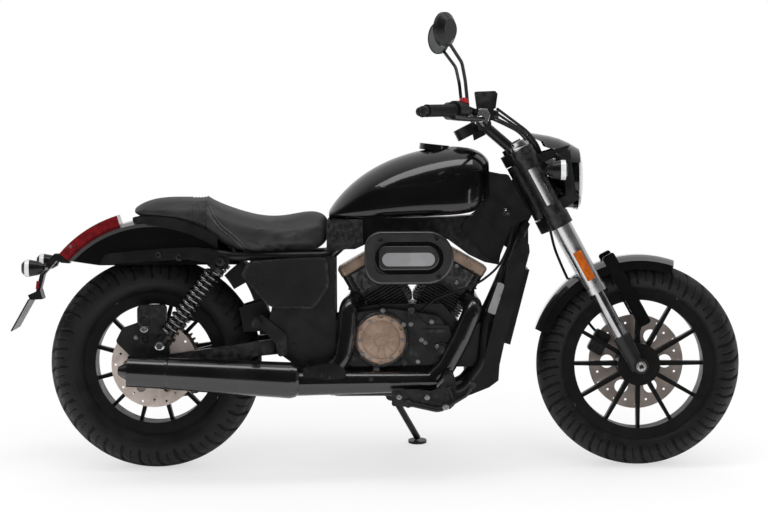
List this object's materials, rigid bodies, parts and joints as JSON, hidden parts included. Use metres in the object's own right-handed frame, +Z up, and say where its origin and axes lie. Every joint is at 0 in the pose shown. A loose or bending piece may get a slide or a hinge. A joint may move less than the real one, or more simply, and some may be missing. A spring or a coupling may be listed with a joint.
{
  "type": "cruiser motorcycle",
  "caption": "V-twin cruiser motorcycle on its side stand: teardrop tank, low two-up seat, cast spoked wheels, rear twin shocks and a long side exhaust.",
  "frame": {"origin": "on the ground under the middle of the machine's bounding box", "axes": "+X forwards, +Y to the machine's left, +Z up"},
  "size_m": [2.1369, 0.9174, 1.3644],
  "materials": {
    "gloss_black": "gloss",
    "satin_black": "satin",
    "engine_black": "satin",
    "dark_grey": "satin",
    "bronze": "satin",
    "silver": "satin",
    "chrome": "mirror",
    "steel": "satin",
    "tyre_rubber": "matte",
    "rubber": "matte",
    "seat_cover": "satin",
    "black_plastic": "satin",
    "red_lens": "gloss",
    "clear_lens": "gloss"
  },
  "bodies": {
    "root": {"frame": "satin_black", "crankcase": "engine_black", "cylinders": "engine_black", "engine_covers": "bronze", "air_cleaner": "dark_grey", "radiator": "black_plastic", "radiator_shroud": "black_plastic", "regulator": "silver", "exhaust": "satin_black", "fuel_tank": "gloss_black", "filler_cap": "gloss_black", "seat": "seat_cover", "rear_fender": "gloss_black", "mudguard": "black_plastic", "fender_struts": "satin_black", "side_covers": "gloss_black", "neck_covers": "black_plastic", "tail_lamp": "red_lens", "tail_bracket": "black_plastic", "rear_indicators": "satin_black", "swingarm": "satin_black", "rear_axle": "steel", "rear_caliper": "satin_black", "shocks": "satin_black", "shock_springs": "chrome", "footrests": "satin_black", "foot_pedals": "satin_black", "cradle": "satin_black", "luggage_bosses": "satin_black", "battery_box": "black_plastic", "chain": "steel", "sprocket_cover": "engine_black", "clutch_cable": "rubber"},
    "steering": {"fork_clamps": "satin_black", "fork_outers": "silver", "fork_inners": "chrome", "fork_bottoms": "satin_black", "front_axle": "steel", "front_fender": "gloss_black", "front_caliper": "satin_black", "headlight_shell": "gloss_black", "headlight_lens": "clear_lens", "lamp_brackets": "satin_black", "front_indicators": "satin_black", "handlebar": "satin_black", "bar_risers": "satin_black", "grips": "rubber", "switch_housings": "black_plastic", "hand_levers": "satin_black", "instrument": "black_plastic", "mirrors": "satin_black", "front_cables": "rubber"},
    "front_wheel": {"front_tyre": "tyre_rubber", "front_rim": "satin_black", "front_disc": "steel"},
    "rear_wheel": {"rear_tyre": "tyre_rubber", "rear_rim": "satin_black", "rear_disc": "steel", "rear_sprocket": "steel"},
    "side_stand": {"side_stand": "satin_black"}
  },
  "joints": [
    {"name": "steering", "type": "hinge", "parent": "root", "child": "steering", "pos_m": [0.4525, -0.04591, 0.80275], "axis": [-0.4695, 0.1229, 0.8744], "range_deg": [-38, 38]},
    {"name": "front_wheel_spin", "type": "hinge", "parent": "steering", "child": "front_wheel", "pos_m": [0.7695, -0.11703, 0.29673], "axis": [0, 0.9903, -0.1392], "continuous": true},
    {"name": "rear_wheel_spin", "type": "hinge", "parent": "root", "child": "rear_wheel", "pos_m": [-0.6505, -0.11543, 0.30812], "axis": [0, 0.9903, -0.1392], "continuous": true},
    {"name": "side_stand_fold", "type": "hinge", "parent": "root", "child": "side_stand", "pos_m": [0.0395, 0.02027, 0.1815], "axis": [-0.1227, 0.9732, 0.1943], "range_deg": [0, 95]}
  ]
}
